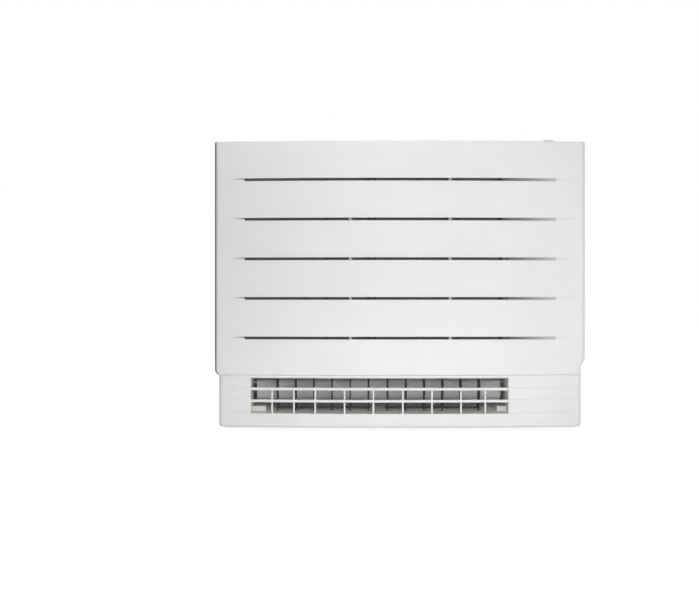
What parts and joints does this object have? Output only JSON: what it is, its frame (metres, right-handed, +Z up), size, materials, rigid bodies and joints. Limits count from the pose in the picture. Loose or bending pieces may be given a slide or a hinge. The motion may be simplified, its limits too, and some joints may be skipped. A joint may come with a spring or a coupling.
{
  "type": "floor standing air conditioner",
  "caption": "Low, wide console air conditioner with a slotted tilting front panel, a lower outlet with coupled standing vanes behind a grille, and a flap over a top outlet.",
  "frame": {"origin": "on the floor, under the middle of the bounding box", "axes": "+X to the right seen from the front, +Y towards the wall, +Z up"},
  "size_m": [0.75, 0.238, 0.6],
  "materials": {
    "panel_white": "smooth moulded",
    "cover_white": "fine moulded grain",
    "casing_white": "moulded",
    "grille_white": "moulded",
    "vane_black": "moulded",
    "shutter_grey": "moulded",
    "duct_grey": "moulded",
    "chamber_grey": "moulded",
    "fan_grey": "moulded",
    "motor_coat": "dipped",
    "galvanised_steel": "galvanised sheet",
    "fin_aluminium": "rolled foil",
    "drawn_copper": "drawn tube",
    "turned_brass": "turned",
    "hose_grey": "soft",
    "net_black": "woven",
    "filter_grey": "moulded",
    "board_green": "laminate",
    "terminal_black": "moulded",
    "lens_dark": "polished"
  },
  "bodies": {
    "cabinet": {"front_cover": "cover_white", "rear_casing": "casing_white", "back_plate": "casing_white", "outlet_grille": "grille_white", "outlet_duct": "duct_grey", "fan_scroll": "chamber_grey", "bell_mouth": "chamber_grey", "fan_motor": "motor_coat", "motor_bracket": "galvanised_steel", "fin_pack": "fin_aluminium", "coil_end_plates": "galvanised_steel", "coil_tube": "drawn_copper", "gas_pipe": "drawn_copper", "liquid_pipe": "drawn_copper", "flare_nuts": "turned_brass", "drain_pan": "chamber_grey", "drain_hose": "hose_grey", "upper_duct": "chamber_grey", "flap_motor": "motor_coat", "shutter_motor": "motor_coat", "filter_left": "filter_grey", "filter_right": "filter_grey", "filter_nets": "net_black", "electrical_box": "galvanised_steel", "electrical_box_lid": "galvanised_steel", "control_board": "board_green", "terminal_block": "terminal_black", "coil_sensor": "drawn_copper", "control_pod": "cover_white", "signal_lens": "lens_dark", "display_board": "board_green", "mouth_screws": "galvanised_steel", "motor_screws": "galvanised_steel", "casing_screws": "galvanised_steel"},
    "front_panel": {"front_panel": "panel_white"},
    "fan": {"turbo_fan": "fan_grey", "motor_shaft": "galvanised_steel", "shaft_nut": "turned_brass"},
    "upper_flap": {"upper_flap": "cover_white"},
    "lower_shutter": {"lower_shutter": "shutter_grey"},
    "power_button": {"power_button": "panel_white"},
    "link_left": {"vane_link_left": "vane_black"},
    "link_right": {"vane_link_right": "vane_black"},
    "vane_left_1": {"vane_left_1": "vane_black"},
    "vane_left_2": {"vane_left_2": "vane_black"},
    "vane_left_3": {"vane_left_3": "vane_black"},
    "vane_left_4": {"vane_left_4": "vane_black"},
    "vane_left_5": {"vane_left_5": "vane_black"},
    "vane_left_6": {"vane_left_6": "vane_black"},
    "vane_right_1": {"vane_right_1": "vane_black"},
    "vane_right_2": {"vane_right_2": "vane_black"},
    "vane_right_3": {"vane_right_3": "vane_black"},
    "vane_right_4": {"vane_right_4": "vane_black"},
    "vane_right_5": {"vane_right_5": "vane_black"},
    "vane_right_6": {"vane_right_6": "vane_black"}
  },
  "joints": [
    {"name": "fan_spin", "type": "hinge", "parent": "cabinet", "child": "fan", "pos_m": [-0.0415, 0.02, 0.33], "axis": [0, 1, 0], "continuous": true},
    {"name": "front_panel_tilt", "type": "hinge", "parent": "cabinet", "child": "front_panel", "pos_m": [0, -0.109, 0.139], "axis": [1, 0, 0], "range_deg": [0, 40]},
    {"name": "upper_flap_tilt", "type": "hinge", "parent": "cabinet", "child": "upper_flap", "pos_m": [-0.0415, 0.0105, 0.5842], "axis": [1, 0, 0], "range_deg": [-70, 0]},
    {"name": "lower_shutter_tilt", "type": "hinge", "parent": "cabinet", "child": "lower_shutter", "pos_m": [-0.0415, -0.033, 0.096], "axis": [1, 0, 0], "range_deg": [0, 75]},
    {"name": "power_button_press", "type": "slide", "parent": "cabinet", "child": "power_button", "axis": [0, 0, -1], "range_m": [0, 0.001], "stiffness_N_per_m": 500},
    {"name": "vane_left_1_turn", "type": "hinge", "parent": "cabinet", "child": "vane_left_1", "pos_m": [-0.2485, -0.076, 0.046], "axis": [0, 0, 1], "range_deg": [-30, 30]},
    {"name": "vane_left_2_turn", "type": "hinge", "parent": "cabinet", "child": "vane_left_2", "pos_m": [-0.2115, -0.076, 0.046], "axis": [0, 0, 1], "range_deg": [-30, 30]},
    {"name": "vane_left_3_turn", "type": "hinge", "parent": "cabinet", "child": "vane_left_3", "pos_m": [-0.1745, -0.076, 0.046], "axis": [0, 0, 1], "range_deg": [-30, 30]},
    {"name": "vane_left_4_turn", "type": "hinge", "parent": "cabinet", "child": "vane_left_4", "pos_m": [-0.1375, -0.076, 0.046], "axis": [0, 0, 1], "range_deg": [-30, 30]},
    {"name": "vane_left_5_turn", "type": "hinge", "parent": "cabinet", "child": "vane_left_5", "pos_m": [-0.1005, -0.076, 0.046], "axis": [0, 0, 1], "range_deg": [-30, 30]},
    {"name": "vane_left_6_turn", "type": "hinge", "parent": "cabinet", "child": "vane_left_6", "pos_m": [-0.0635, -0.076, 0.046], "axis": [0, 0, 1], "range_deg": [-30, 30]},
    {"name": "link_left_turn", "type": "hinge", "parent": "vane_left_3", "child": "link_left", "pos_m": [-0.1745, -0.058, 0.046], "axis": [0, 0, 1], "range_deg": [-30, 30]},
    {"name": "vane_right_1_turn", "type": "hinge", "parent": "cabinet", "child": "vane_right_1", "pos_m": [-0.0245, -0.076, 0.046], "axis": [0, 0, 1], "range_deg": [-30, 30]},
    {"name": "vane_right_2_turn", "type": "hinge", "parent": "cabinet", "child": "vane_right_2", "pos_m": [0.0127, -0.076, 0.046], "axis": [0, 0, 1], "range_deg": [-30, 30]},
    {"name": "vane_right_3_turn", "type": "hinge", "parent": "cabinet", "child": "vane_right_3", "pos_m": [0.0499, -0.076, 0.046], "axis": [0, 0, 1], "range_deg": [-30, 30]},
    {"name": "vane_right_4_turn", "type": "hinge", "parent": "cabinet", "child": "vane_right_4", "pos_m": [0.0871, -0.076, 0.046], "axis": [0, 0, 1], "range_deg": [-30, 30]},
    {"name": "vane_right_5_turn", "type": "hinge", "parent": "cabinet", "child": "vane_right_5", "pos_m": [0.1243, -0.076, 0.046], "axis": [0, 0, 1], "range_deg": [-30, 30]},
    {"name": "vane_right_6_turn", "type": "hinge", "parent": "cabinet", "child": "vane_right_6", "pos_m": [0.1615, -0.076, 0.046], "axis": [0, 0, 1], "range_deg": [-30, 30]},
    {"name": "link_right_turn", "type": "hinge", "parent": "vane_right_3", "child": "link_right", "pos_m": [0.0499, -0.058, 0.046], "axis": [0, 0, 1], "range_deg": [-30, 30]}
  ],
  "couplings": [
    {"joint": "vane_left_1_turn", "follows": "vane_left_3_turn", "ratio": 1},
    {"joint": "vane_left_2_turn", "follows": "vane_left_3_turn", "ratio": 1},
    {"joint": "vane_left_4_turn", "follows": "vane_left_3_turn", "ratio": 1},
    {"joint": "vane_left_5_turn", "follows": "vane_left_3_turn", "ratio": 1},
    {"joint": "vane_left_6_turn", "follows": "vane_left_3_turn", "ratio": 1},
    {"joint": "link_left_turn", "follows": "vane_left_3_turn", "ratio": -1},
    {"joint": "vane_right_1_turn", "follows": "vane_right_3_turn", "ratio": 1},
    {"joint": "vane_right_2_turn", "follows": "vane_right_3_turn", "ratio": 1},
    {"joint": "vane_right_4_turn", "follows": "vane_right_3_turn", "ratio": 1},
    {"joint": "vane_right_5_turn", "follows": "vane_right_3_turn", "ratio": 1},
    {"joint": "vane_right_6_turn", "follows": "vane_right_3_turn", "ratio": 1},
    {"joint": "link_right_turn", "follows": "vane_right_3_turn", "ratio": -1}
  ]
}
